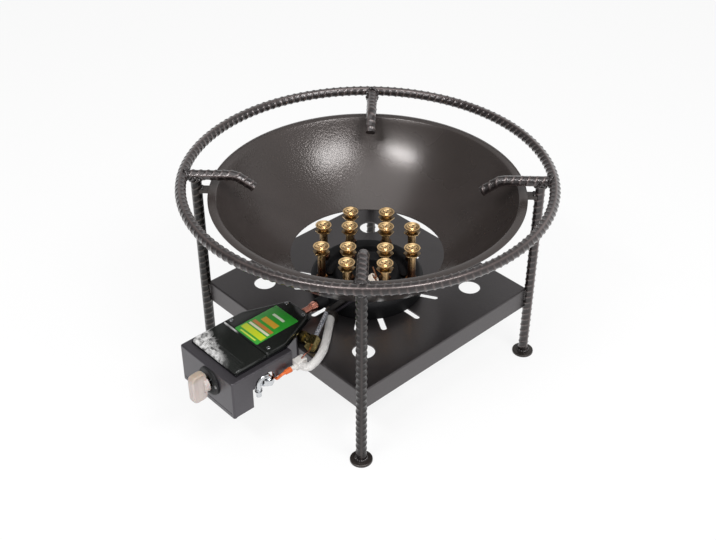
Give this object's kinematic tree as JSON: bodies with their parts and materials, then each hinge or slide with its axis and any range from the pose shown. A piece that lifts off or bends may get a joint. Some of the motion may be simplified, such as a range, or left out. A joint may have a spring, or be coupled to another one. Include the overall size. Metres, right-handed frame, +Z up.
{
  "type": "portable gas stove",
  "caption": "Free-standing gas stove: bar ring and legs, spun heat bowl, slotted tray, cast burner with upright brass jets, and a front control box with push-and-turn valve and battery igniter.",
  "frame": {"origin": "on the floor, under the burner's axis", "axes": "+Z up, -Y towards the cook and the control box, +X to the right of a cook facing the stove"},
  "size_m": [0.4999, 0.5591, 0.297],
  "materials": {
    "stove_paint": "satin dark grey heat paint with a slight orange peel",
    "cast_iron": "blackened sand-cast iron",
    "brass": "turned bright brass",
    "bright_steel": "zinc-plated steel",
    "copper": "drawn copper",
    "chrome": "bright chrome plate",
    "case_plastic": "glossy black moulding",
    "collar_plastic": "matt black moulding",
    "knob_plastic": "milky moulded plastic",
    "label": "printed film in plain colour fields",
    "cell": "plain wrapped cell",
    "module_plastic": "potted black case",
    "ceramic": "glazed white ceramic",
    "glass_fibre": "braided white glass fibre",
    "connector_plastic": "white moulding",
    "orange_rubber": "orange silicone"
  },
  "bodies": {
    "stand": {"top_ring": "stove_paint", "heat_bowl": "stove_paint", "bowl_tabs": "stove_paint", "tray": "stove_paint", "control_box": "stove_paint", "electrode_bracket": "stove_paint", "pot_arm_front_right": "stove_paint", "pot_arm_front_left": "stove_paint", "pot_arm_rear_right": "stove_paint", "pot_arm_rear_left": "stove_paint", "leg_front_right": "stove_paint", "leg_front_left": "stove_paint", "leg_rear_right": "stove_paint", "leg_rear_left": "stove_paint", "foot_front_right": "stove_paint", "foot_front_left": "stove_paint", "foot_rear_right": "stove_paint", "foot_rear_left": "stove_paint", "burner_base": "cast_iron", "jet_01": "brass", "jet_02": "brass", "jet_03": "brass", "jet_04": "brass", "jet_05": "brass", "jet_06": "brass", "jet_07": "brass", "jet_08": "brass", "jet_09": "brass", "jet_10": "brass", "jet_11": "brass", "jet_12": "brass", "jet_nuts": "brass", "safety_valve": "brass", "valve_body": "brass", "burner_bolts": "bright_steel", "cover_screws": "bright_steel", "return_spring": "bright_steel", "battery_contacts": "bright_steel", "flame_sensor": "bright_steel", "electrode_wire": "bright_steel", "sensor_tube": "bright_steel", "gas_pipe": "copper", "pipe_nuts": "copper", "sensor_lead": "copper", "gas_inlet": "chrome", "case_tub": "case_plastic", "case_top": "case_plastic", "knob_collar": "collar_plastic", "label_plate": "label", "battery": "cell", "spark_module": "module_plastic", "spark_electrode": "ceramic", "lead_sleeve": "glass_fibre", "white_connector": "connector_plastic", "orange_lead": "orange_rubber"},
    "push": {"push_washer": "bright_steel"},
    "knob": {"knob": "knob_plastic", "valve_stem": "bright_steel"},
    "plug": {"valve_plug": "brass"},
    "cover": {"battery_cover": "case_plastic"}
  },
  "joints": [
    {"name": "knob_push", "type": "slide", "parent": "stand", "child": "push", "axis": [0, 1, 0], "range_m": [0, 0.0035], "stiffness_N_per_m": 800, "deforming": ["return_spring"]},
    {"name": "knob_turn", "type": "hinge", "parent": "push", "child": "knob", "pos_m": [0.007, -0.2861, 0.11], "axis": [0, -1, 0], "range_deg": [0, 90]},
    {"name": "plug_turn", "type": "hinge", "parent": "stand", "child": "plug", "pos_m": [0.007, -0.2365, 0.11], "axis": [0, -1, 0], "range_deg": [0, 90]},
    {"name": "cover_slide", "type": "slide", "parent": "stand", "child": "cover", "axis": [0, -1, 0], "range_m": [0, 0.045]}
  ],
  "couplings": [
    {"joint": "plug_turn", "follows": "knob_turn", "ratio": 1}
  ]
}
